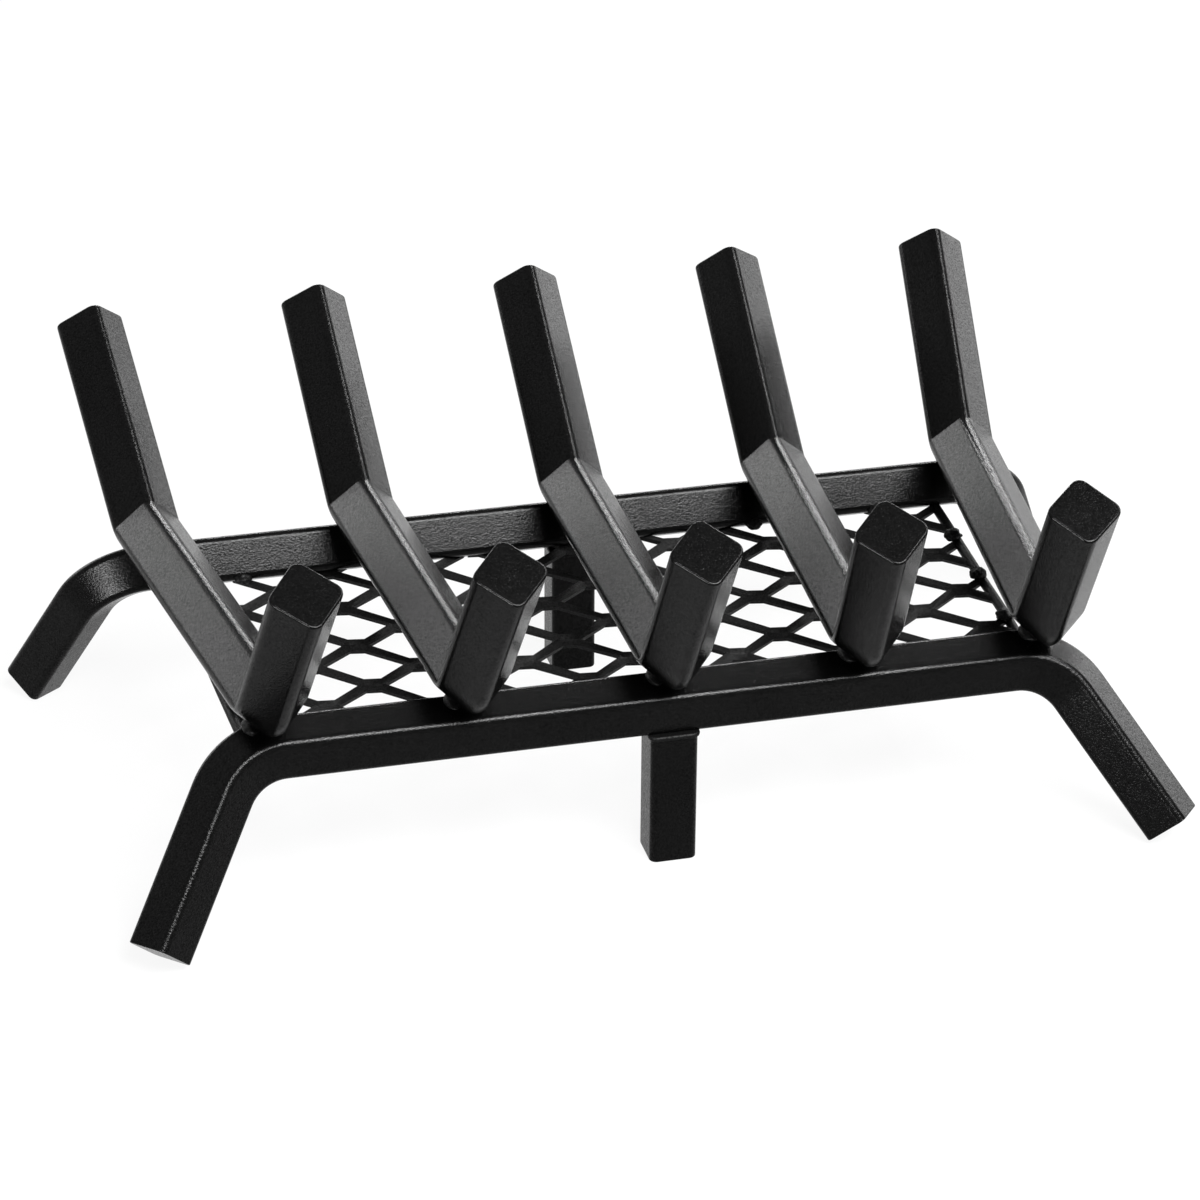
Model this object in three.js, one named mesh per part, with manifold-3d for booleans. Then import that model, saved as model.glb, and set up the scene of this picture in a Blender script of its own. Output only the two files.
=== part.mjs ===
// A log grate for a fireplace: five square bars lie on edge across two bent rails, with short
// stubs rising at the front and long arms leaning back at the rear. A sheet of expanded metal
// hangs between the rails to catch embers. All of it is solid mild steel, welded into one piece.
// Millimetres, +Z up, X along the rails, the rear arms towards +Y. The origin is at floor level,
// in the middle of the space that the grate fills.
import * as THREE from 'three';
import { mergeGeometries, mergeVertices } from 'three/addons/utils/BufferGeometryUtils.js';
import Module from 'manifold-3d';

const wasm = await Module();
wasm.setup();

// ---- driving dimensions -----------------------------------------------------------------

// Stock
const RAIL_SIZE = 19.05;           // square bar of the rails and legs, side to side
const RAIL_CORNER = 3.0;           // radius of its rolled corners
const LOG_BAR_SIZE = 22.2;         // the log bars are cut from heavier stock
const LOG_BAR_CORNER = 4.2;
const SEAT_GAP = 0.3;              // space kept between pieces that touch

// Rails
const RAIL_SPACING = 160.5;        // front rail to rear rail, middle to middle
const RAIL_BEND_RADIUS = 29.3;     // radius of the bends above the feet, at the bar's middle
const FRONT_RAIL_HEIGHT = 67.2;    // middle of the front rail above the floor
const FRONT_RAIL_STRAIGHT = 295;   // straight length between the bends
const FRONT_RAIL_ROLL = -11;       // degrees that its front face looks up
const FRONT_FOOT_BEND = 61.5;      // degrees that the foot turns away from the rail
const FRONT_FOOT_LEAN = 34;        // degrees that the feet lean forward
const REAR_RAIL_STRAIGHT = 351;
const REAR_RAIL_ROLL = 29;
const REAR_FOOT_BEND = 68;
const REAR_FOOT_LEAN = 27;         // degrees that the feet lean backward

// Log bars
const LOG_BAR_PITCH = 78;          // between neighbours at their front bends, on average
// The bars were set by hand. pitches is how far the front bend is to the right of the rails'
// middle, counted in pitches. yaw is how many degrees the bar turns to the right on its way
// back, and lean how many degrees it is rolled to the right about its level middle.
const LOG_BAR_PLACES = [
  { pitches: -1.974, yaw: -8.2, lean: 1.5 },
  { pitches: -0.974, yaw: -4.1, lean: 1.9 },
  { pitches: 0.05, yaw: -0.4, lean: -0.6 },
  { pitches: 1.049, yaw: 3.4, lean: -3.6 },
  { pitches: 2.008, yaw: 6.9, lean: 0 },
];
const LOG_BAR_BEND_RADIUS = 15;    // radius of both bends, at the bar's middle
const STUB_OVERHANG = 11.4;        // front bend in front of the front rail's middle
const STUB_LENGTH = 80.5;          // from the bend's corner to the stub's cut end
const STUB_RISE = 57;              // degrees above level
const CREASE_INSET = 10;           // rear bend in front of the rear rail's middle
const ARM_LENGTH = 100;
const ARM_RISE = 36.6;             // degrees above level

// Centre legs
const CENTRE_LEG_OFFSET = 5.6;     // to the right of the rails' middle
const REAR_LEG_SETBACK = 4;        // rear leg's middle behind the rear rail's middle

// Ember mesh
const MESH_LONG_WAY = 43;          // diamond pitch along the rails
const MESH_SHORT_WAY = 34;         // diamond pitch from front to rear
const MESH_SKEW = -10;             // degrees that the long way swings to the front at the right
const MESH_STRAND = 2.6;           // strand width
const MESH_THICKNESS = 2.2;
const MESH_BOND = 7;               // length over which two strands join
const MESH_DROP = 5.7;             // middle of the mesh below the front rail's middle
const MESH_NODE_X = 66.5;          // one crossing of the pattern, from the rails' middle
const MESH_NODE_Y = 8.3;
const ROD_DIAMETER = 4.2;
const ROD_FRONT_SPREAD = 319.4;    // between the two side rods at the front rail
const ROD_REAR_SPREAD = 333.4;     // and at the rear rail

// Welds
const BEAD_WIDTH = 9;
const BEAD_LENGTH = 15;
const BEAD_HEIGHT = 7;
const LEG_BEAD = 1.4;              // how far the bead stands out round a centre leg
const TACK_SIZE = 6.4;
const TACK_LIFT = 0.8;             // middle of a tack above the mesh
const REAR_TACKS = 6;
const FRONT_TACKS = 5;
const ROD_TACKS = 3;               // on each side rod
const ROD_TACK_SPREAD = 0.7;       // share of the rod's length that its tacks are spread over

// Steps that round shapes are made of
const CORNER_STEPS = 4;
const RAIL_BEND_STEPS = 8;
const LOG_BAR_BEND_STEPS = 6;
const ROD_SIDES = 12;
const WELD_SIDES = 10;
const WELD_RINGS = 6;

// ---- values worked out from them --------------------------------------------------------

const degrees = THREE.MathUtils.degToRad;
const ACROSS = new THREE.Vector3(1, 0, 0);
const UP = new THREE.Vector3(0, 0, 1);
const railStock = { corner: RAIL_CORNER, inset: RAIL_SIZE / 2 - RAIL_CORNER };
const logBarStock = { corner: LOG_BAR_CORNER, inset: LOG_BAR_SIZE / 2 - LOG_BAR_CORNER };
const diamondReach = logBarStock.inset * Math.SQRT2 + LOG_BAR_CORNER;
const frontRailY = -RAIL_SPACING / 2;
const rearRailY = RAIL_SPACING / 2;
const frontBendY = frontRailY - STUB_OVERHANG;
const creaseY = rearRailY - CREASE_INSET;
const meshHeight = FRONT_RAIL_HEIGHT - MESH_DROP;
const meshTop = meshHeight + MESH_THICKNESS / 2;

// Half the height of a rail that is rolled about its own length.
function rolledReach(roll) {
  return railStock.inset * (Math.abs(Math.cos(roll)) + Math.abs(Math.sin(roll))) + RAIL_CORNER;
}

const frontRailTop = FRONT_RAIL_HEIGHT + rolledReach(degrees(FRONT_RAIL_ROLL));
const logBarHeight = frontRailTop + SEAT_GAP + diamondReach;

// The rear rail is as high as the log bars' undersides let it be where they cross it.
function rearRailSeat() {
  const roll = degrees(REAR_RAIL_ROLL);
  const edgeY = rearRailY + railStock.inset * (Math.sin(roll) - Math.cos(roll));
  const edgeRise = railStock.inset * (Math.sin(roll) + Math.cos(roll));
  const bendY = creaseY - LOG_BAR_BEND_RADIUS * Math.tan(degrees(ARM_RISE) / 2);
  const pastBend = Math.max(0, edgeY - bendY);
  const reach = LOG_BAR_BEND_RADIUS + diamondReach + SEAT_GAP + RAIL_CORNER;
  const edgeHeight = logBarHeight + LOG_BAR_BEND_RADIUS - Math.sqrt(reach ** 2 - pastBend ** 2);
  return { height: edgeHeight - edgeRise, edgeY, top: edgeHeight + RAIL_CORNER };
}

const rearSeat = rearRailSeat();

const steel = (name, shade, roughness) =>
  new THREE.MeshStandardMaterial({ name, color: shade, roughness, metalness: 0.35 });

// ---- building blocks --------------------------------------------------------------------

// The outline of a bar: a square with rounded corners, optionally grown all round.
function barSection(stock, grow = 0, turn = 0) {
  const points = [];
  for (let corner = 0; corner < 4; corner += 1) {
    for (let step = 0; step <= CORNER_STEPS; step += 1) {
      const angle = (corner + step / CORNER_STEPS) * Math.PI / 2;
      const middle = (corner + 0.5) * Math.PI / 2;
      const radius = stock.corner + grow;
      const x = stock.inset * Math.SQRT2 * Math.cos(middle) + radius * Math.cos(angle);
      const y = stock.inset * Math.SQRT2 * Math.sin(middle) + radius * Math.sin(angle);
      points.push(new THREE.Vector2(x, y).rotateAround(new THREE.Vector2(), turn));
    }
  }
  return points;
}

// Carries an outline along stations, each a point with the outline's two directions there.
function sweep(stations, section) {
  const vertices = [];
  const faces = [];
  const count = section.length;
  for (const { point, a, b } of stations) {
    for (const { x, y } of section) {
      const vertex = point.clone().addScaledVector(a, x).addScaledVector(b, y);
      vertices.push(vertex.x, vertex.y, vertex.z);
    }
  }
  for (let ring = 0; ring + 1 < stations.length; ring += 1) {
    for (let i = 0; i < count; i += 1) {
      const next = (i + 1) % count;
      const near = ring * count;
      const far = near + count;
      faces.push(near + i, near + next, far + next, near + i, far + next, far + i);
    }
  }
  const last = (stations.length - 1) * count;
  for (let i = 1; i + 1 < count; i += 1) {
    faces.push(0, i + 1, i, last, last + i, last + i + 1);
  }
  return new wasm.Manifold(new wasm.Mesh({
    numProp: 3,
    vertProperties: new Float32Array(vertices),
    triVerts: new Uint32Array(faces),
  }));
}

function toSolid(geometry) {
  geometry.deleteAttribute('normal');
  geometry.deleteAttribute('uv');
  const merged = mergeVertices(geometry, 1e-5);
  return new wasm.Manifold(new wasm.Mesh({
    numProp: 3,
    vertProperties: new Float32Array(merged.attributes.position.array),
    triVerts: new Uint32Array(merged.index.array),
  }));
}

function toGeometry(solid) {
  const mesh = solid.getMesh();
  const geometry = new THREE.BufferGeometry();
  geometry.setAttribute('position', new THREE.BufferAttribute(mesh.vertProperties, 3));
  geometry.setIndex(new THREE.BufferAttribute(mesh.triVerts, 1));
  geometry.computeVertexNormals();
  return geometry;
}

// Cuts one solid by others, and keeps the largest piece if crumbs come off.
function cutBy(solid, cutters) {
  const rest = cutters.reduce((body, cutter) => body.subtract(cutter), solid);
  return rest.decompose().sort((one, other) => other.volume() - one.volume())[0];
}

const grate = new THREE.Group();

function addPiece(name, solid, material) {
  const piece = new THREE.Mesh(toGeometry(solid), material);
  piece.name = name;
  grate.add(piece);
}

// ---- rails ------------------------------------------------------------------------------

// One bar makes a rail and its two feet. Both bends lie in one plane, which leans with the feet,
// while the bar itself is rolled a little as it sits in the jig.
function railStations(rail) {
  const down = new THREE.Vector3(0, rail.side * Math.sin(rail.lean), -Math.cos(rail.lean));
  const top = new THREE.Vector3(0, Math.sin(rail.roll), Math.cos(rail.roll));
  const front = new THREE.Vector3(0, -Math.cos(rail.roll), Math.sin(rail.roll));

  const stationAt = (end, angle, run) => {
    const outward = ACROSS.clone().multiplyScalar(end);
    const hinge = outward.clone().cross(down).normalize();
    const point = new THREE.Vector3(end * rail.straight / 2, rail.y, rail.height)
      .addScaledVector(down, RAIL_BEND_RADIUS * (1 - Math.cos(angle)))
      .addScaledVector(outward, RAIL_BEND_RADIUS * Math.sin(angle))
      .addScaledVector(outward, run * Math.cos(angle))
      .addScaledVector(down, run * Math.sin(angle));
    return {
      point,
      a: top.clone().applyAxisAngle(hinge, angle),
      b: front.clone().applyAxisAngle(hinge, angle),
    };
  };

  // The foot is long enough for its lowest corner to stand on the floor.
  const bendEnd = stationAt(1, rail.bend, 0);
  const corners = barSection(railStock);
  const drop = Math.max(...corners.map(({ x, y }) => -(bendEnd.a.z * x + bendEnd.b.z * y)));
  const run = (bendEnd.point.z - drop) / (Math.sin(rail.bend) * Math.cos(rail.lean));

  const half = (end) => {
    const stations = [];
    for (let step = 0; step <= RAIL_BEND_STEPS; step += 1) {
      stations.push(stationAt(end, rail.bend * step / RAIL_BEND_STEPS, 0));
    }
    stations.push(stationAt(end, rail.bend, run));
    return stations;
  };
  return [...half(-1).reverse(), ...half(1)];
}

const frontRail = {
  side: -1,
  y: frontRailY,
  height: FRONT_RAIL_HEIGHT,
  straight: FRONT_RAIL_STRAIGHT,
  roll: degrees(FRONT_RAIL_ROLL),
  bend: degrees(FRONT_FOOT_BEND),
  lean: degrees(FRONT_FOOT_LEAN),
};

const rearRail = {
  side: 1,
  y: rearRailY,
  height: rearSeat.height,
  straight: REAR_RAIL_STRAIGHT,
  roll: degrees(REAR_RAIL_ROLL),
  bend: degrees(REAR_FOOT_BEND),
  lean: degrees(REAR_FOOT_LEAN),
};

const railSolid = (rail, grow = 0) =>
  sweep(railStations(rail), barSection(railStock, grow));
const frontRailSpace = railSolid(frontRail, SEAT_GAP);
const rearRailSpace = railSolid(rearRail, SEAT_GAP);

addPiece('front_rail', railSolid(frontRail), steel('front rail', 0x151515, 0.5));
addPiece('rear_rail', railSolid(rearRail), steel('rear rail', 0x181818, 0.5));

// ---- log bars ---------------------------------------------------------------------------

// A log bar lies with one edge up. Stub, middle and arm are one bar, bent in an upright plane.
function logBar(place) {
  const yaw = degrees(place.yaw);
  const lean = degrees(place.lean);
  const along = new THREE.Vector3(Math.sin(yaw), Math.cos(yaw), 0);
  const level = new THREE.Vector3(Math.cos(yaw), -Math.sin(yaw), 0);
  const sideways = level.clone().multiplyScalar(Math.cos(lean))
    .addScaledVector(UP, -Math.sin(lean));
  const upright = sideways.clone().cross(along);
  const x = LOG_BAR_PITCH * place.pitches;
  const frontCorner = new THREE.Vector3(x, frontBendY, logBarHeight);
  const middleLength = (creaseY - frontBendY) / Math.cos(yaw);
  const rearCorner = frontCorner.clone().addScaledVector(along, middleLength);
  return { along, sideways, upright, frontCorner, rearCorner };
}

function logBarStations({ along, sideways, upright, frontCorner, rearCorner }) {
  const stations = [];
  const addStation = (point, angle) => {
    const heading = along.clone().multiplyScalar(Math.cos(angle))
      .addScaledVector(upright, Math.sin(angle));
    const normal = sideways.clone().cross(heading);
    stations.push({ point, a: normal, b: sideways });
  };
  // An arc that turns the bar at a corner, from one slope to the next.
  const addBend = (corner, from, to) => {
    const setback = LOG_BAR_BEND_RADIUS * Math.tan(Math.abs(to - from) / 2);
    const start = corner.clone()
      .addScaledVector(along, -setback * Math.cos(from))
      .addScaledVector(upright, -setback * Math.sin(from));
    const centre = start.clone()
      .addScaledVector(along, -LOG_BAR_BEND_RADIUS * Math.sin(from))
      .addScaledVector(upright, LOG_BAR_BEND_RADIUS * Math.cos(from));
    for (let step = 0; step <= LOG_BAR_BEND_STEPS; step += 1) {
      const angle = from + (to - from) * step / LOG_BAR_BEND_STEPS;
      const point = centre.clone()
        .addScaledVector(along, LOG_BAR_BEND_RADIUS * Math.sin(angle))
        .addScaledVector(upright, -LOG_BAR_BEND_RADIUS * Math.cos(angle));
      addStation(point, angle);
    }
  };
  const stubSlope = -degrees(STUB_RISE);
  const armSlope = degrees(ARM_RISE);
  const stubEnd = frontCorner.clone()
    .addScaledVector(along, -STUB_LENGTH * Math.cos(stubSlope))
    .addScaledVector(upright, -STUB_LENGTH * Math.sin(stubSlope));
  const armEnd = rearCorner.clone()
    .addScaledVector(along, ARM_LENGTH * Math.cos(armSlope))
    .addScaledVector(upright, ARM_LENGTH * Math.sin(armSlope));
  addStation(stubEnd, stubSlope);
  addBend(frontCorner, stubSlope, 0);
  addBend(rearCorner, 0, armSlope);
  addStation(armEnd, armSlope);
  return stations;
}

const logBarSolid = (bar, grow = 0) =>
  sweep(logBarStations(bar), barSection(logBarStock, grow, Math.PI / 4));
const logBars = LOG_BAR_PLACES.map(logBar);

logBars.forEach((bar, index) => {
  addPiece(`log_bar_${index + 1}`, logBarSolid(bar), steel('log bar', 0x3a3a3a, 0.55));
});

// ---- centre legs ------------------------------------------------------------------------

// An upright square bar, grown sideways if asked, between two heights.
function legSolid(leg, grow, bottom, top) {
  const at = (height) => ({
    point: new THREE.Vector3(CENTRE_LEG_OFFSET, leg.y, height),
    a: new THREE.Vector3(1, 0, 0),
    b: new THREE.Vector3(0, 1, 0),
  });
  return sweep([at(bottom), at(top)], barSection(railStock, grow));
}

// The weld runs all round the top of the leg, in the corner below the rail.
function legWeld(leg, rail, railSpace) {
  const around = legSolid(leg, LEG_BEAD, leg.top - LEG_BEAD, leg.top + LEG_BEAD);
  const legSpace = legSolid(leg, SEAT_GAP, 0, leg.top + SEAT_GAP);
  return cutBy(around.intersect(railSolid(rail, LEG_BEAD)), [legSpace, railSpace]);
}

function centreLeg(name, rail, railSpace, setback) {
  const leg = {
    y: rail.y + setback,
    top: rail.height - rolledReach(rail.roll) - SEAT_GAP,
  };
  addPiece(`${name}_centre_leg`, legSolid(leg, 0, 0, leg.top), steel('leg', 0x161616, 0.5));
  addPiece(`${name}_leg_weld`, legWeld(leg, rail, railSpace), steel('weld', 0x1c1c1c, 0.6));
}

centreLeg('front', frontRail, frontRailSpace, 0);
centreLeg('rear', rearRail, rearRailSpace, REAR_LEG_SETBACK);

// ---- ember mesh and its side rods -------------------------------------------------------

// The right-hand rod's middle line at a given depth; the left one mirrors it.
function rodX(y) {
  const share = (y - frontRailY) / RAIL_SPACING;
  return THREE.MathUtils.lerp(ROD_FRONT_SPREAD, ROD_REAR_SPREAD, share) / 2;
}

function rodSolid(side, grow = 0) {
  const from = new THREE.Vector3(side * rodX(frontRailY), frontRailY, meshHeight);
  const to = new THREE.Vector3(side * rodX(rearRailY), rearRailY, meshHeight);
  const heading = to.clone().sub(from).normalize();
  const sideways = heading.clone().cross(UP).normalize();
  const radius = ROD_DIAMETER / 2 + grow;
  const circle = Array.from({ length: ROD_SIDES }, (_, i) => {
    const angle = i * 2 * Math.PI / ROD_SIDES;
    return new THREE.Vector2(radius * Math.cos(angle), radius * Math.sin(angle));
  });
  const at = (point) => ({ point, a: sideways.clone().cross(heading), b: sideways });
  return sweep([at(from), at(to)], circle);
}

for (const [name, side] of [['left', -1], ['right', 1]]) {
  const rod = cutBy(rodSolid(side), [frontRailSpace, rearRailSpace]);
  addPiece(`mesh_rod_${name}`, rod, steel('rod', 0x141414, 0.5));
}

// One opening of the expanded metal: six sides, with the joined strands above and below it.
function meshOpening(centreX, centreY, long, short) {
  const halfLong = MESH_LONG_WAY / 2 - MESH_BOND / 2;
  const halfShort = MESH_SHORT_WAY / 2 - MESH_STRAND;
  const at = (alongLong, alongShort) => new THREE.Vector2(centreX, centreY)
    .addScaledVector(long, alongLong)
    .addScaledVector(short, alongShort);
  const shape = new THREE.Shape([
    at(-halfLong, 0),
    at(-MESH_BOND / 2, -halfShort),
    at(MESH_BOND / 2, -halfShort),
    at(halfLong, 0),
    at(MESH_BOND / 2, halfShort),
    at(-MESH_BOND / 2, halfShort),
  ]);
  const depth = MESH_THICKNESS * 2;
  const opening = new THREE.ExtrudeGeometry(shape, { depth, bevelEnabled: false });
  return opening.translate(0, 0, meshHeight - MESH_THICKNESS);
}

function emberMesh() {
  const long = new THREE.Vector2(Math.cos(degrees(MESH_SKEW)), Math.sin(degrees(MESH_SKEW)));
  const short = new THREE.Vector2(0, 1);
  const inset = ROD_DIAMETER / 2 + SEAT_GAP;
  const outline = new THREE.Shape([
    new THREE.Vector2(-rodX(frontRailY) + inset, frontRailY),
    new THREE.Vector2(rodX(frontRailY) - inset, frontRailY),
    new THREE.Vector2(rodX(rearRailY) - inset, rearRailY),
    new THREE.Vector2(-rodX(rearRailY) + inset, rearRailY),
  ]);
  const depth = MESH_THICKNESS;
  const sheet = new THREE.ExtrudeGeometry(outline, { depth, bevelEnabled: false });
  sheet.translate(0, 0, meshHeight - MESH_THICKNESS / 2);

  // Openings in both sets of rows, over all of the sheet and a little past its edges.
  const openings = [];
  const columns = Math.ceil(ROD_REAR_SPREAD / MESH_LONG_WAY) + 2;
  const rows = Math.ceil(RAIL_SPACING / MESH_SHORT_WAY) + 3;
  for (let column = -2 * columns; column <= 2 * columns; column += 1) {
    for (let row = -2 * rows; row <= 2 * rows; row += 1) {
      const isOpening = (column + row) % 2 !== 0;
      const centre = new THREE.Vector2(MESH_NODE_X, MESH_NODE_Y)
        .addScaledVector(long, column * MESH_LONG_WAY / 2)
        .addScaledVector(short, row * MESH_SHORT_WAY / 2);
      const isNear = Math.abs(centre.x) < ROD_REAR_SPREAD / 2 + MESH_LONG_WAY / 2
        && Math.abs(centre.y) < RAIL_SPACING / 2 + MESH_SHORT_WAY / 2;
      if (isOpening && isNear) {
        openings.push(meshOpening(centre.x, centre.y, long, short));
      }
    }
  }
  const holes = toSolid(mergeGeometries(openings));
  return cutBy(toSolid(sheet), [holes, frontRailSpace, rearRailSpace]);
}

addPiece('ember_mesh', emberMesh(), steel('ember mesh', 0x121212, 0.55));

// ---- welds ------------------------------------------------------------------------------

function blob(centre, width, length, height, yaw = 0) {
  const geometry = new THREE.SphereGeometry(0.5, WELD_SIDES, WELD_RINGS);
  geometry.scale(width, length, height);
  geometry.rotateZ(yaw);
  geometry.translate(centre.x, centre.y, centre.z);
  return toSolid(geometry);
}

// Beads on both sides of each log bar, where it crosses a rail.
function logBarWelds(bar, number, name, y, height, railSpace) {
  const barSpace = logBarSolid(bar, SEAT_GAP);
  const crossing = bar.frontCorner.clone()
    .addScaledVector(bar.along, (y - frontBendY) / bar.along.y);
  for (const [sideName, side] of [['left', -1], ['right', 1]]) {
    const centre = crossing.clone().addScaledVector(bar.sideways, side * BEAD_WIDTH / 2);
    centre.z = height + SEAT_GAP;
    const yaw = Math.atan2(-bar.along.x, bar.along.y);
    const bead = blob(centre, BEAD_WIDTH, BEAD_LENGTH, BEAD_HEIGHT, yaw);
    const material = steel('weld', 0x1c1c1c, 0.6);
    addPiece(`${name}_weld_${number}_${sideName}`, cutBy(bead, [barSpace, railSpace]), material);
  }
}

logBars.forEach((bar, index) => {
  logBarWelds(bar, index + 1, 'front', frontRailY, frontRailTop, frontRailSpace);
  logBarWelds(bar, index + 1, 'rear', rearSeat.edgeY, rearSeat.top, rearRailSpace);
});

// Tacks hold the mesh to the rails and to its side rods. Each lies on top of the mesh.
const underMesh = toSolid(
  new THREE.BoxGeometry(2 * ROD_REAR_SPREAD, 2 * RAIL_SPACING, meshTop + SEAT_GAP)
    .translate(0, 0, (meshTop + SEAT_GAP) / 2),
);

function addTack(name, x, y, cutters) {
  const centre = new THREE.Vector3(x, y, meshTop + SEAT_GAP + TACK_LIFT);
  const tack = blob(centre, TACK_SIZE, TACK_SIZE, TACK_SIZE);
  addPiece(name, cutBy(tack, [underMesh, ...cutters]), steel('weld', 0x1c1c1c, 0.6));
}

function addRailTacks(name, count, y, railSpace) {
  for (let i = 0; i < count; i += 1) {
    const x = 2 * rodX(y) * ((i + 0.5) / count - 0.5);
    addTack(`${name}_mesh_tack_${i + 1}`, x, y, [railSpace]);
  }
}

const rearTackY = rearRailY - rolledReach(rearRail.roll);
const frontTackY = frontRailY + rolledReach(frontRail.roll);
addRailTacks('rear', REAR_TACKS, rearTackY, rearRailSpace);
addRailTacks('front', FRONT_TACKS, frontTackY, frontRailSpace);

for (const [name, side] of [['left', -1], ['right', 1]]) {
  const rodSpace = rodSolid(side, SEAT_GAP);
  for (let i = 0; i < ROD_TACKS; i += 1) {
    const y = RAIL_SPACING * ROD_TACK_SPREAD * ((i + 0.5) / ROD_TACKS - 0.5);
    addTack(`${name}_rod_tack_${i + 1}`, side * (rodX(y) - ROD_DIAMETER / 2), y, [rodSpace]);
  }
}

// The origin goes to the middle of the grate's box, at the floor.
const box = new THREE.Box3().setFromObject(grate);
const middle = box.getCenter(new THREE.Vector3());
grate.position.set(-middle.x, -middle.y, 0);
grate.updateMatrixWorld(true);

export default grate;
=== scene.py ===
# %% [markdown]
# # A fireplace log grate
# Five square bars lie on edge across two bent rails. Each bar turns up into a short stub at the
# front and a long arm at the rear, and a sheet of expanded metal hangs between the rails to catch
# embers. Everything is mild steel, welded together and then powder coated in a satin black.
#
# The plain solids of the grate are loaded first. They fix where everything is. They could be
# shown as they are, but rolled corners, creases and welds are what make plain black steel look
# like steel, so a finer piece of the same size stands in for each of them.

# %% Load the plain solids
import bpy
import bmesh
from math import atan2, cos, hypot, pi, radians, sin, tan
from mathutils import Matrix, Vector, noise


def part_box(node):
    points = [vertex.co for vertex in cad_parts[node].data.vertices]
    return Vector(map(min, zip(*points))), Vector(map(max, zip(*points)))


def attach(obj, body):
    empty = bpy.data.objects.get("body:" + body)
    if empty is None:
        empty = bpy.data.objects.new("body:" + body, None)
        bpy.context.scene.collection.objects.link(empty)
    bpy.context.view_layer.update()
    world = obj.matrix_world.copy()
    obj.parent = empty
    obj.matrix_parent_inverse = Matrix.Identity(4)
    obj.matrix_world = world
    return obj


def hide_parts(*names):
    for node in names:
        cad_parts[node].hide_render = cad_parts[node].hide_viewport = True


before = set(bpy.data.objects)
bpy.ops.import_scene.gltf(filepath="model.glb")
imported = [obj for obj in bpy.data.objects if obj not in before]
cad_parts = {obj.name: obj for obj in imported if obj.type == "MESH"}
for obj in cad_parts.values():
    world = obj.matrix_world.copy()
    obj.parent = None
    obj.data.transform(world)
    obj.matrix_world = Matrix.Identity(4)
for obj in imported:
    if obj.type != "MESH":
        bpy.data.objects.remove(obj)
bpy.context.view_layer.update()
MM = 0.001
print("solids:", len(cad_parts))

# %% [markdown]
# ## The camera
# The grate is seen from its front left, a little above. A short lens would splay the bars. A long
# one keeps them nearly parallel, as a catalogue picture does, so the camera stands well back.

# %% Make the camera
CAMERA_TURN = radians(-14.39)
CAMERA_TILT = radians(27.38)
CAMERA_ROLL = radians(0.35)
CAMERA_DISTANCE = 1.5753
AIM = Vector((-1.8, -3.7, 71.3)) * MM

camera_data = bpy.data.cameras.new("camera")
camera_data.sensor_width = 36
camera_data.lens = 115.5
camera = bpy.data.objects.new("camera", camera_data)
bpy.context.scene.collection.objects.link(camera)
bpy.context.scene.camera = camera

back = Vector((sin(CAMERA_TURN) * cos(CAMERA_TILT), -cos(CAMERA_TURN) * cos(CAMERA_TILT),
               sin(CAMERA_TILT)))
aimed = (-back).to_track_quat("-Z", "Y")
camera.rotation_mode = "QUATERNION"
camera.rotation_quaternion = aimed @ Matrix.Rotation(CAMERA_ROLL, 3, "Z").to_quaternion()
camera.location = AIM + back * CAMERA_DISTANCE
print("camera is", round((camera.location - AIM).length, 3), "m from the grate")

# %% [markdown]
# ## The powder coat
# Powder is sprayed on dry and melts into a skin. It flows a little, so it is smooth where it
# pools, but it keeps a fine sandy grain and a slow ripple called orange peel. A picture could
# carry that grain, but it would stretch over the bends. Noise in the object's own space does not,
# so both scales of bumps come from noise textures. The sand also decides how strongly each spot
# mirrors, the orange peel how sharply, and a third, slow noise clouds the shade.

# %% Helpers for noise and bumps
def noise_at(tree, scale, detail, rough):
    """Noise that keeps its scale over every bend, as it lives in the object's own space."""
    place = tree.nodes.new("ShaderNodeTexCoord")
    texture = tree.nodes.new("ShaderNodeTexNoise")
    texture.inputs["Scale"].default_value = scale
    texture.inputs["Detail"].default_value = detail
    texture.inputs["Roughness"].default_value = rough
    tree.links.new(place.outputs["Object"], texture.inputs["Vector"])
    return texture.outputs["Fac"]


def spread(tree, value, low, high):
    """Stretches noise to a range. Most of its values lie between 0.3 and 0.7."""
    ramp = tree.nodes.new("ShaderNodeMapRange")
    ramp.inputs["From Min"].default_value = 0.3
    ramp.inputs["From Max"].default_value = 0.7
    ramp.inputs["To Min"].default_value = low
    ramp.inputs["To Max"].default_value = high
    tree.links.new(value, ramp.inputs["Value"])
    return ramp.outputs["Result"]


def bumped(tree, height, strength, distance, under=None):
    """A surface direction bent by bumps, on top of the bumps under them if there are any."""
    bump = tree.nodes.new("ShaderNodeBump")
    bump.inputs["Strength"].default_value = strength
    bump.inputs["Distance"].default_value = distance
    tree.links.new(height, bump.inputs["Height"])
    if under is not None:
        tree.links.new(under, bump.inputs["Normal"])
    return bump.outputs["Normal"]

# %% A helper that makes one coat
SAND = {"scale": 1400, "detail": 2, "rough": 0.6}
PEEL = {"scale": 420, "detail": 2, "rough": 0.5}
CLOUD = {"scale": 22, "detail": 3, "rough": 0.55}
MIRROR_LEAST, MIRROR_MOST = 0.015, 0.1


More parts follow.
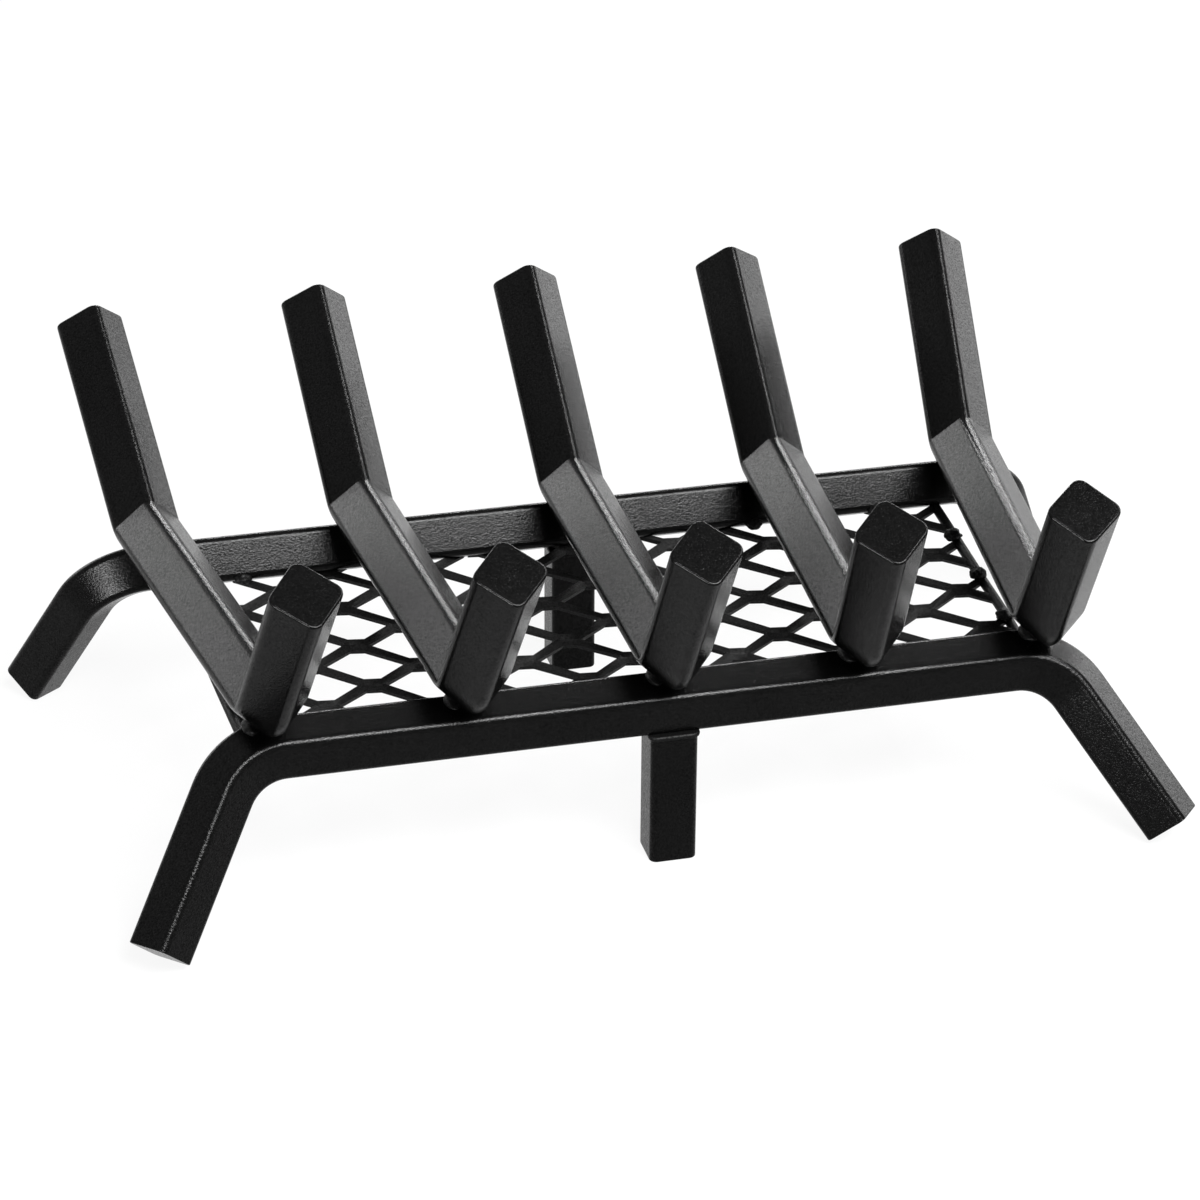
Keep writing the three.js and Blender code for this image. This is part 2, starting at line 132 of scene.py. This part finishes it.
def powder_coat(name, shade, roughness, grain):
    """A satin black coat. shade is how light it is, and grain the sandy bumps' depth in metres."""
    material = bpy.data.materials.new(name)
    material.use_nodes = True
    tree = material.node_tree
    shader = tree.nodes["Principled BSDF"]
    shader.inputs["Metallic"].default_value = 0.0
    sand, peel, cloud = (noise_at(tree, **kind) for kind in (SAND, PEEL, CLOUD))

    tint = tree.nodes.new("ShaderNodeMix")
    tint.data_type = "RGBA"
    tint.inputs["A"].default_value = [shade * 0.75] * 3 + [1]
    tint.inputs["B"].default_value = [shade * 1.3] * 3 + [1]
    tree.links.new(spread(tree, cloud, 0, 1), tint.inputs["Factor"])

    ripple = bumped(tree, peel, strength=0.03, distance=grain * 1.5)
    surface = bumped(tree, sand, strength=0.8, distance=grain, under=ripple)
    sharpness = spread(tree, peel, roughness - 0.02, roughness + 0.04)
    mirror = spread(tree, sand, MIRROR_LEAST, MIRROR_MOST)
    tree.links.new(tint.outputs["Result"], shader.inputs["Base Color"])
    tree.links.new(sharpness, shader.inputs["Roughness"])
    tree.links.new(mirror, shader.inputs["Specular IOR Level"])
    tree.links.new(surface, shader.inputs["Normal"])
    return material

# %% The coats of the different pieces
rail_coat = powder_coat("rail coat", shade=0.0004, roughness=0.17, grain=0.00016)
bar_coat = powder_coat("log bar coat", shade=0.0004, roughness=0.15, grain=0.00014)
mesh_coat = powder_coat("ember mesh coat", shade=0.0012, roughness=0.5, grain=0.00008)
weld_coat = powder_coat("weld coat", shade=0.0006, roughness=0.5, grain=0.00006)
print("coats:", [material.name for material in bpy.data.materials])

# %% [markdown]
# ## Bars bent from square stock
# A smith makes each long piece from one straight bar. A curve with a square section could stand
# in for it, but its twist and its cut ends are hard to control. So it is modelled as the smith
# makes it: a square with rolled corners is pushed along a straight run, spun round a bend, and
# pushed on again. Pushing and spinning one face keeps the corners' radius true all the way round.

# %% Helpers for bar work
CORNER_SEGMENTS = 6


def stock_face(bm, size, corner, facing, spin_by, centre):
    """A square face with rolled corners, turned about its own middle, then faced along an axis."""
    made = bmesh.ops.create_grid(bm, x_segments=1, y_segments=1, size=size / 2)
    bmesh.ops.bevel(bm, geom=made["verts"], offset=corner, segments=CORNER_SEGMENTS, profile=0.5,
                    affect="VERTICES", material=-1)
    stand = facing.to_track_quat("Z", "Y").to_matrix().to_4x4()
    place = Matrix.Translation(centre) @ Matrix.Rotation(spin_by, 4, facing) @ stand
    bmesh.ops.transform(bm, matrix=place, verts=bm.verts)
    return list(bm.faces)[0]


def cut_ends(bm):
    """The bar's ends. They are its only faces with more than eight corners."""
    return [face for face in bm.faces if len(face.verts) > 8]


def cap_near(bm, point):
    """The cut end nearest to a point."""
    return min(cut_ends(bm), key=lambda face: (face.calc_center_median() - point).length)


def push(bm, face, step):
    """Draws the bar out in a straight line, and returns its new end."""
    target = face.calc_center_median() + step
    out = bmesh.ops.extrude_face_region(bm, geom=[face])
    moved = [item for item in out["geom"] if isinstance(item, bmesh.types.BMVert)]
    bmesh.ops.translate(bm, verts=moved, vec=step)
    return cap_near(bm, target)


def bend(bm, face, centre, axis, angle, steps):
    """Turns the bar round a bend, and returns its new end."""
    turned = Matrix.Rotation(angle, 3, axis) @ (face.calc_center_median() - centre) + centre
    bmesh.ops.spin(bm, geom=[face], cent=centre, axis=axis, angle=angle, steps=steps,
                   use_merge=False, use_duplicate=False)
    return cap_near(bm, turned)


def soften_ends(bm, width):
    """The saw's edge is knocked off both cut ends, as the coat would run thin on it."""
    edges = {edge for face in cut_ends(bm) for edge in face.edges}
    bmesh.ops.bevel(bm, geom=list(edges), offset=width, segments=3, profile=0.5,
                    affect="EDGES", material=-1)

# %% A helper that finishes a piece
SHARP_ANGLE = radians(50)


def finish_piece(bm, name, coat, slot, *nodes):
    """Turns a bmesh into a smooth piece that stands for some of the plain solids."""
    bmesh.ops.remove_doubles(bm, verts=bm.verts, dist=1e-6)
    bmesh.ops.recalc_face_normals(bm, faces=bm.faces)
    mesh = bpy.data.meshes.new(name)
    bm.to_mesh(mesh)
    bm.free()
    mesh.materials.append(coat)
    mesh.shade_smooth()
    mesh.set_sharp_from_angle(angle=SHARP_ANGLE)
    piece = bpy.data.objects.new(name, mesh)
    bpy.context.scene.collection.objects.link(piece)
    weighted = piece.modifiers.new("even shading", "WEIGHTED_NORMAL")
    weighted.keep_sharp = True
    weighted.weight = 80
    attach(piece, "root")
    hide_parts(*nodes)
    print(name, "faces:", len(mesh.polygons))
    return piece

# %% [markdown]
# ## The two rails
# Each rail is one bar with a foot bent down at both ends. The feet could be bars of their own, but
# the real ones have no seam. The bends lie in a plane that leans outwards with the feet, so each
# is spun about an axis square to that plane. The foot is then pushed out until the lowest corner
# of its cut end reaches the floor.

# %% A helper that bends a rail
RAIL_SIZE = 19.05 * MM
RAIL_CORNER = 3.0 * MM
RAIL_BEND_RADIUS = 29.3 * MM
RAIL_BEND_STEPS = 16
SAWN_EDGE = 0.5 * MM


def bent_rail(name, y, height, straight, roll_by, foot_bend, foot_lean):
    """A rail along X. roll_by and foot_lean are positive where its top and feet lean rearwards."""
    bm = bmesh.new()
    down = Vector((0, sin(foot_lean), -cos(foot_lean)))
    start = Vector((-straight / 2, y, height))
    first = stock_face(bm, RAIL_SIZE, RAIL_CORNER, Vector((1, 0, 0)), -roll_by, start)
    push(bm, first, Vector((straight, 0, 0)))
    for end in (-1, 1):
        outward = Vector((end, 0, 0))
        corner = Vector((end * straight / 2, y, height))
        centre = corner + down * RAIL_BEND_RADIUS
        axis = outward.cross(down)
        face = bend(bm, cap_near(bm, corner), centre, axis, foot_bend, RAIL_BEND_STEPS)
        heading = outward * cos(foot_bend) + down * sin(foot_bend)
        lowest = min(vert.co.z for vert in face.verts)
        push(bm, face, heading * (lowest / -heading.z))
    soften_ends(bm, SAWN_EDGE)
    finish_piece(bm, name + "_bar", rail_coat, "rail_coat", name)

# %% Make the rails
FRONT_RAIL_Y = -86.09 * MM
REAR_RAIL_Y = 74.41 * MM

bent_rail("front_rail", y=FRONT_RAIL_Y, height=67.2 * MM, straight=295 * MM,
          roll_by=radians(-11), foot_bend=radians(61.5), foot_lean=radians(-34))
bent_rail("rear_rail", y=REAR_RAIL_Y, height=68.47 * MM, straight=351 * MM,
          roll_by=radians(29), foot_bend=radians(68), foot_lean=radians(27))

# %% [markdown]
# ## The five log bars
# A log bar lies with one edge up, so a log touches only that edge. On the inside of a cold bend
# the steel is squeezed into a sharp crease, while the outside stays round. A mitre would make both
# sides sharp and a plain arc neither. So the bend is spun as a smooth arc, and then its upper half
# is drawn out to the line where the two straight runs would meet. Each bar is made from its level
# middle: the rear end is bent up into the arm, and the front end into the stub.

# %% The log bars' sizes and places
LOG_BAR_SIZE = 22.2 * MM
LOG_BAR_CORNER = 4.2 * MM
LOG_BAR_BEND_RADIUS = 15 * MM
LOG_BAR_HEIGHT = 92.11 * MM
LOG_BAR_END = 0.9 * MM
FRONT_BEND_Y = -97.49 * MM
CREASE_Y = 64.41 * MM
STUB_LENGTH = 80.5 * MM
STUB_RISE = radians(57)
STUB_BEND_STEPS = 16
ARM_LENGTH = 100 * MM
ARM_RISE = radians(36.6)
ARM_BEND_STEPS = 12
# Where each bar's front bend is, in mm, then how many degrees the bar is turned and rolled.
LOG_BAR_PLACES = [(-153.97, -8.2, 1.5), (-75.97, -4.1, 1.9), (3.9, -0.4, -0.6),
                  (81.82, 3.4, -3.6), (156.62, 6.9, 0)]
print("log bars:", len(LOG_BAR_PLACES))

# %% A helper that sharpens the inside of a bend
# The crease starts at this height over the bar's middle line and is full so much higher, in mm.
CREASE_STARTS = -1.0
CREASE_GROWS_OVER = 3.0
# No part of a bend is farther than this from the bend's centre.
WITHIN_BEND = 2.2 * LOG_BAR_BEND_RADIUS
ANGLE_SLACK = 0.001


def crease(bm, centre, angle, way):
    """Draws out a bend in the YZ plane. way is 1 for a bend at the rear and -1 at the front."""
    for vert in bm.verts:
        across = (vert.co.y - centre.y) * way
        below = centre.z - vert.co.z
        reach = hypot(across, below)
        turned = atan2(across, below)
        if not (ANGLE_SLACK < turned < angle - ANGLE_SLACK) or reach > WITHIN_BEND:
            continue
        height = (LOG_BAR_BEND_RADIUS - reach) / MM
        share = min(1, max(0, (height - CREASE_STARTS) / CREASE_GROWS_OVER))
        drawn = reach * (1 + share * (1 / cos(min(turned, angle - turned)) - 1))
        vert.co.y = centre.y + way * drawn * sin(turned)
        vert.co.z = centre.z - drawn * cos(turned)

# %% Make the log bars
def log_bar(name, x, yaw, lean):
    """One bar, bent in the YZ plane, then rolled by lean, turned by yaw and set in its place."""
    bm = bmesh.new()
    length = (CREASE_Y - FRONT_BEND_Y) / cos(yaw)
    arm_setback = LOG_BAR_BEND_RADIUS * tan(ARM_RISE / 2)
    stub_setback = LOG_BAR_BEND_RADIUS * tan(STUB_RISE / 2)
    front = Vector((0, stub_setback, 0))
    rear = Vector((0, length - arm_setback, 0))
    first = stock_face(bm, LOG_BAR_SIZE, LOG_BAR_CORNER, Vector((0, 1, 0)), radians(45), front)
    push(bm, first, rear - front)
    for way, start, rise, run, steps in (
            (1, rear, ARM_RISE, ARM_LENGTH - arm_setback, ARM_BEND_STEPS),
            (-1, front, STUB_RISE, STUB_LENGTH - stub_setback, STUB_BEND_STEPS)):
        centre = start + Vector((0, 0, LOG_BAR_BEND_RADIUS))
        face = bend(bm, cap_near(bm, start), centre, Vector((1, 0, 0)), way * rise, steps)
        push(bm, face, Vector((0, way * cos(rise), sin(rise))) * run)
        crease(bm, centre, rise, way)
    soften_ends(bm, LOG_BAR_END)

    set_at = Matrix.Translation((x, FRONT_BEND_Y, LOG_BAR_HEIGHT))
    turned = Matrix.Rotation(-yaw, 4, "Z") @ Matrix.Rotation(lean, 4, "Y")
    bmesh.ops.transform(bm, matrix=set_at @ turned, verts=bm.verts)
    finish_piece(bm, name + "_bar", bar_coat, "bar_coat", name)


for number, (x, yaw, lean) in enumerate(LOG_BAR_PLACES, start=1):
    log_bar(f"log_bar_{number}", x * MM, radians(yaw), radians(lean))

# %% [markdown]
# ## The centre legs
# A short cut of the same bar stands under the middle of each rail, so that a heap of logs can't
# sag it. A primitive cube would do for its shape but not for its rolled corners, so it is pushed
# up from the same face as the bars, and so is the thin bead of weld round its top.

# %% Make the legs and their beads
LEG_BEAD_REACH = 0.9 * MM
LEG_BEAD_HEIGHT = 2.2 * MM
LEG_BEAD_BELOW_TOP = 1.2 * MM
LEG_BEAD_ROUND = 0.85 * MM


def upright(size, corner, foot, height, rounding):
    """A square block that stands on foot."""
    bm = bmesh.new()
    first = stock_face(bm, size, corner, Vector((0, 0, 1)), 0, foot)
    push(bm, first, Vector((0, 0, height)))
    soften_ends(bm, rounding)
    return bm


for side in ("front", "rear"):
    leg = side + "_centre_leg"
    weld = side + "_leg_weld"
    low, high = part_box(leg)
    foot = Vector(((low.x + high.x) / 2, (low.y + high.y) / 2, 0))
    block = upright(RAIL_SIZE, RAIL_CORNER, foot, high.z, SAWN_EDGE)
    finish_piece(block, leg + "_block", rail_coat, "leg_coat", leg)
    foot.z = high.z - LEG_BEAD_BELOW_TOP
    ring = upright(RAIL_SIZE + 2 * LEG_BEAD_REACH, RAIL_CORNER + LEG_BEAD_REACH, foot,
                   LEG_BEAD_HEIGHT, LEG_BEAD_ROUND)
    finish_piece(ring, weld + "_bead", weld_coat, "weld_coat", weld)

# %% [markdown]
# ## The ember mesh
# Expanded metal is a sheet that is slit and pulled open, so its strands and the joints between
# them are all one piece. Drawn as strands it would need hundreds of joints to be welded. It is
# easier to think of the holes: six-sided cells tile the sheet, each cell is inset, its middle is
# taken out, and what is left between the cells is the net.

# %% Lay out the cells
MESH_LONG_WAY = 43 * MM
MESH_SHORT_WAY = 34 * MM
MESH_SKEW = radians(-10)
MESH_BOND = 7 * MM
SHEET_REACH_X = 0.19
SHEET_REACH_Y = 0.1
long_way = Vector((cos(MESH_SKEW), sin(MESH_SKEW), 0))
short_way = Vector((0, 1, 0))
# The middle of one bond, where four cells meet.
crossing = Vector((66.5, 2.46, 0)) * MM
half_long, half_short, half_bond = MESH_LONG_WAY / 2, MESH_SHORT_WAY / 2, MESH_BOND / 2


def cell_at(bm, middle):
    """A hexagon with one tip at either end of the long way, whose flat sides are the bonds."""
    made = bmesh.ops.create_circle(bm, cap_ends=True, segments=6, radius=half_long)
    for vert in made["verts"]:
        to_tip = 1 if vert.co.y > 0 else -1
        to_side = 1 if vert.co.x > 0 else -1
        is_tip = abs(vert.co.x) < 0.3 * half_long
        along = to_tip * (half_long - half_bond if is_tip else half_bond)
        aside = 0 if is_tip else to_side * half_short
        vert.co = middle + long_way * along + short_way * aside


bm = bmesh.new()
for column in range(-12, 9):
    for row in range(-9, 9):
        middle = crossing + long_way * (column * half_long) + short_way * (row * half_short)
        on_sheet = abs(middle.x) <= SHEET_REACH_X and abs(middle.y) <= SHEET_REACH_Y
        if (column + row) % 2 == 1 and on_sheet:
            cell_at(bm, middle)
bmesh.ops.remove_doubles(bm, verts=bm.verts, dist=0.1 * MM)
print("cells:", len(bm.faces))

# %% Open the cells
MESH_STRAND = 2.4 * MM
# Pulling the slits open turns the strands a little on edge, so each hole is narrower and tilted.
HOLE_NARROWS = 0.93
STRAND_TILT = 0.09

cells = list(bm.faces)
bmesh.ops.inset_individual(bm, faces=cells, thickness=MESH_STRAND / 2, depth=0)
for cell in cells:
    middle = cell.calc_center_median()
    for vert in cell.verts:
        off = vert.co.y - middle.y
        vert.co.y = middle.y + off * HOLE_NARROWS
        vert.co.z -= off * STRAND_TILT
bmesh.ops.delete(bm, geom=cells, context="FACES_ONLY")
print("faces between the holes:", len(bm.faces))

# %% Trim the sheet to the rods and the rails
ROD_SPREAD_FRONT = 319.4 * MM
ROD_SPREAD_REAR = 333.4 * MM
EDGE_INSIDE_ROD_LINE = 1.2 * MM
INTO_RAIL = 1.5 * MM


def trim(point, outward):
    """Cuts off what lies beyond a point."""
    everything = list(bm.verts) + list(bm.edges) + list(bm.faces)
    bmesh.ops.bisect_plane(bm, geom=everything, plane_co=point, plane_no=outward,
                           clear_outer=True)


rod_slant = atan2((ROD_SPREAD_REAR - ROD_SPREAD_FRONT) / 2, REAR_RAIL_Y - FRONT_RAIL_Y)
sheet_edge_x = (ROD_SPREAD_FRONT + ROD_SPREAD_REAR) / 4 - EDGE_INSIDE_ROD_LINE
for side in (-1, 1):
    outward = Vector((side * cos(rod_slant), -sin(rod_slant), 0))
    trim(Vector((side * sheet_edge_x, (FRONT_RAIL_Y + REAR_RAIL_Y) / 2, 0)), outward)
net_low, net_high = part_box("ember_mesh")
trim(Vector((0, net_low.y - INTO_RAIL, 0)), Vector((0, -1, 0)))
trim(Vector((0, net_high.y + INTO_RAIL, 0)), Vector((0, 1, 0)))
print("faces after the trim:", len(bm.faces))

# %% Give the sheet its thickness and its sag
MESH_THICKNESS = 2.0 * MM
MESH_HEIGHT = 61.5 * MM

for vert in bm.verts:
    sag = noise.noise(vert.co * 14) * 0.7 + noise.noise(vert.co * 60) * 0.35
    vert.co.z += MESH_HEIGHT + sag * MM
bmesh.ops.solidify(bm, geom=list(bm.faces), thickness=MESH_THICKNESS)
bmesh.ops.recalc_face_normals(bm, faces=bm.faces)
shift = MESH_HEIGHT - sum(vert.co.z for vert in bm.verts) / len(bm.verts)
bmesh.ops.translate(bm, verts=bm.verts, vec=Vector((0, 0, shift)))
net = finish_piece(bm, "ember_mesh_net", mesh_coat, "mesh_coat", "ember_mesh")
rounding = net.modifiers.new("rounded strands", "BEVEL")
rounding.width = 0.45 * MM
rounding.segments = 2
rounding.limit_method = "ANGLE"
rounding.angle_limit = radians(40)
net.modifiers.move(1, 0)

# %% [markdown]
# ## The side rods
# A round rod closes each open side of the mesh, and the mesh is tacked to it. A plain cylinder
# would be too true: the heat of the tacks pulls a thin rod about. So a circle is drawn out
# between the rails in many short steps, and slow noise moves each step a little.

# %% Make the rods
ROD_RADIUS = 2.1 * MM
ROD_ENDS_INSET = 6 * MM
ROD_STEPS = 24


def side_rod(node, side):
    """A rod from rail to rail. side is -1 on the left and 1 on the right."""
    bm = bmesh.new()
    front = Vector((side * ROD_SPREAD_FRONT / 2, FRONT_RAIL_Y + ROD_ENDS_INSET, MESH_HEIGHT))
    rear = Vector((side * ROD_SPREAD_REAR / 2, REAR_RAIL_Y - ROD_ENDS_INSET, MESH_HEIGHT))
    made = bmesh.ops.create_circle(bm, cap_ends=True, segments=20, radius=ROD_RADIUS)
    stand = (rear - front).to_track_quat("Z", "Y").to_matrix().to_4x4()
    bmesh.ops.transform(bm, matrix=Matrix.Translation(front) @ stand, verts=made["verts"])
    face = list(bm.faces)[0]
    for _ in range(ROD_STEPS):
        face = push(bm, face, (rear - front) / ROD_STEPS)
    for vert in bm.verts:
        vert.co.x += noise.noise(Vector((side * 3, vert.co.y * 18, 0))) * 0.8 * MM
        vert.co.z += noise.noise(Vector((side * 7, vert.co.y * 18, 0))) * 0.6 * MM
    finish_piece(bm, node + "_bar", mesh_coat, "mesh_coat", node)


side_rod("mesh_rod_left", -1)
side_rod("mesh_rod_right", 1)

# %% [markdown]
# ## The welds
# A weld is a row of small puddles that froze one after another, so it has ripples across it and
# no two are alike. A bump in the coat could draw the ripples, but the bead's outline would stay
# smooth. So each bead starts as a ball, is pushed in and out by noise and by a ripple along its
# length, and is drawn out to the size of its plain solid.

# %% Helpers that make lumpy beads
BALL_RADIUS = 0.5
LUMP_SCALE = 1.7
RIPPLE_TURN_PER_MM = 2.6


def bead(bm, low, high, seed, grow, lumps, ripples):
    """One bead that fills a box, and grow more. seed gives each one lumps of its own."""
    made = bmesh.ops.create_icosphere(bm, subdivisions=4, radius=BALL_RADIUS)
    size = (high - low) + Vector((grow, grow, grow))
    middle = (low + high) / 2
    place = Vector((seed * 5.1, seed * 2.3, 0))
    for vert in made["verts"]:
        away = vert.co.normalized()
        lump = noise.noise(away * LUMP_SCALE + place) * lumps
        ripple = sin(vert.co.y * size.y / MM * RIPPLE_TURN_PER_MM + seed) * ripples
        vert.co += away * (lump + ripple) * BALL_RADIUS
        vert.co = middle + Vector(vert.co[i] * size[i] for i in range(3))


def bead_group(name, nodes, grow=0.8 * MM, lumps=0.28, ripples=0.03):
    """Several beads as one piece. Unless told otherwise, they are as rough as small tacks."""
    bm = bmesh.new()
    for seed, node in enumerate(nodes, start=len(name)):
        low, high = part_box(node)
        bead(bm, low, high, seed, grow, lumps, ripples)
    finish_piece(bm, name, weld_coat, "weld_coat", *nodes)

# %% Put the beads in their corners
for rail in ("front", "rear"):
    nodes = [f"{rail}_weld_{n}_{side}" for n in range(1, 6) for side in ("left", "right")]
    bead_group(rail + "_bar_beads", nodes, grow=-2 * MM, lumps=0.12, ripples=0.006)
bead_group("rear_mesh_beads", [f"rear_mesh_tack_{n}" for n in range(1, 7)])
bead_group("front_mesh_beads", [f"front_mesh_tack_{n}" for n in range(1, 6)])
for side in ("left", "right"):
    bead_group(side + "_rod_beads", [f"{side}_rod_tack_{n}" for n in range(1, 4)])

# %% [markdown]
# ## The floor and the sky
# A black product is photographed on white, in soft light from all round. A white floor that is
# only lit turns grey away from the lamps. So the floor and the sky look plain white to the camera
# and to the reflections, whatever light they give, and the floor keeps a trace of real shade.

# %% Helpers for surfaces that look white to the camera
def shows_white(tree):
    """1 for what the camera sees, straight or in a reflection, and 0 for the light itself."""
    rays = tree.nodes.new("ShaderNodeLightPath")
    shown = rays.outputs["Is Camera Ray"]
    for kind in ("Is Glossy Ray", "Is Transmission Ray"):
        either = tree.nodes.new("ShaderNodeMath")
        either.operation = "MAXIMUM"
        tree.links.new(shown, either.inputs[0])
        tree.links.new(rays.outputs[kind], either.inputs[1])
        shown = either.outputs[0]
    return shown


def output_mix(tree, factor, plain, white, output_kind):
    """Sends a mix of two shaders to the output. It is all white where factor is 1."""
    mix = tree.nodes.new("ShaderNodeMixShader")
    out = tree.nodes.new(output_kind)
    tree.links.new(factor, mix.inputs[0])
    tree.links.new(plain.outputs[0], mix.inputs[1])
    tree.links.new(white.outputs[0], mix.inputs[2])
    tree.links.new(mix.outputs[0], out.inputs["Surface"])

# %% Make the floor
FLOOR_HALF_WIDTH = 8
FLOOR_SHADE = 0.86
FLOOR_WHITE = 0.93
WHITE_SHARE = 0.97

bm = bmesh.new()
bmesh.ops.create_grid(bm, x_segments=1, y_segments=1, size=FLOOR_HALF_WIDTH)
floor_mesh = bpy.data.meshes.new("floor")
bm.to_mesh(floor_mesh)
bm.free()
floor = bpy.data.objects.new("floor", floor_mesh)
bpy.context.scene.collection.objects.link(floor)

floor_paint = bpy.data.materials.new("floor")
floor_paint.use_nodes = True
floor_tree = floor_paint.node_tree
floor_tree.nodes.clear()
matt = floor_tree.nodes.new("ShaderNodeBsdfDiffuse")
matt.inputs["Color"].default_value = (FLOOR_SHADE, FLOOR_SHADE, FLOOR_SHADE, 1)
glow = floor_tree.nodes.new("ShaderNodeEmission")
glow.inputs["Strength"].default_value = FLOOR_WHITE
share = floor_tree.nodes.new("ShaderNodeMath")
share.operation = "MULTIPLY"
share.inputs[1].default_value = WHITE_SHARE
floor_tree.links.new(shows_white(floor_tree), share.inputs[0])
output_mix(floor_tree, share.outputs[0], matt, glow, "ShaderNodeOutputMaterial")
floor_mesh.materials.append(floor_paint)
print("the floor is", 2 * FLOOR_HALF_WIDTH, "m wide")

# %% Make the sky
SKY_LIGHT = 0.6

world = bpy.data.worlds.new("studio")
bpy.context.scene.world = world
world.use_nodes = True
sky_tree = world.node_tree
sky_tree.nodes.clear()
seen = sky_tree.nodes.new("ShaderNodeBackground")
seen.inputs["Color"].default_value = (1, 1, 1, 1)
light = sky_tree.nodes.new("ShaderNodeBackground")
light.inputs["Color"].default_value = (1, 1, 1, 1)
light.inputs["Strength"].default_value = SKY_LIGHT
output_mix(sky_tree, shows_white(sky_tree), light, seen, "ShaderNodeOutputWorld")
print("the sky gives a light of", SKY_LIGHT)

# %% [markdown]
# ## The lamps
# Black paint shows mostly what it mirrors, so each lamp is hung where a face or an edge mirrors
# it to the camera. One big lamp would light them all alike. Two wide, weak ones behind and on the
# right lift the bars' upper faces to grey. Narrow, bright strips draw the lines along the bars'
# upper edges, the softbox in front those along the rails, and the low lamp on the left the rims
# of the stubs.

# %% Hang the lamps
LAMP_AIM = Vector((0, 0, 0.1))
# A name, where it hangs as seen from the grate, how far off, its two sizes, and its radiance.
LAMPS = [("rear left lamp", (-0.46, 0.86, 0.20), 2.2, (1.5, 0.7), 5.0),
         ("right lamp", (0.87, 0.49, 0.16), 2.2, (1.5, 0.8), 5.5),
         ("rear strip", (0.34, 0.85, 0.40), 2.2, (1.9, 0.12), 60),
         ("right strip", (0.62, -0.05, 0.78), 2.0, (1.0, 0.18), 70),
         ("front softbox", (0.22, -0.62, 0.75), 1.8, (1.3, 0.8), 75),
         ("left rim lamp", (-0.73, -0.68, 0.13), 2.0, (0.7, 0.6), 70)]


def soft_lamp(name, heading, distance, size, radiance):
    """A flat lamp that faces the grate. With a radiance of 1 it would look plain white."""
    lamp_data = bpy.data.lights.new(name, "AREA")
    lamp_data.shape = "RECTANGLE"
    lamp_data.size, lamp_data.size_y = size
    lamp_data.energy = radiance * pi * size[0] * size[1]
    lamp = bpy.data.objects.new(name, lamp_data)
    lamp.location = LAMP_AIM + Vector(heading).normalized() * distance
    lamp.rotation_mode = "QUATERNION"
    lamp.rotation_quaternion = (LAMP_AIM - lamp.location).to_track_quat("-Z", "Y")
    bpy.context.scene.collection.objects.link(lamp)
    print(name, "hangs", round(lamp.location.z, 2), "m high")


for lamp_values in LAMPS:
    soft_lamp(*lamp_values)
bpy.context.scene.view_settings.view_transform = "Standard"
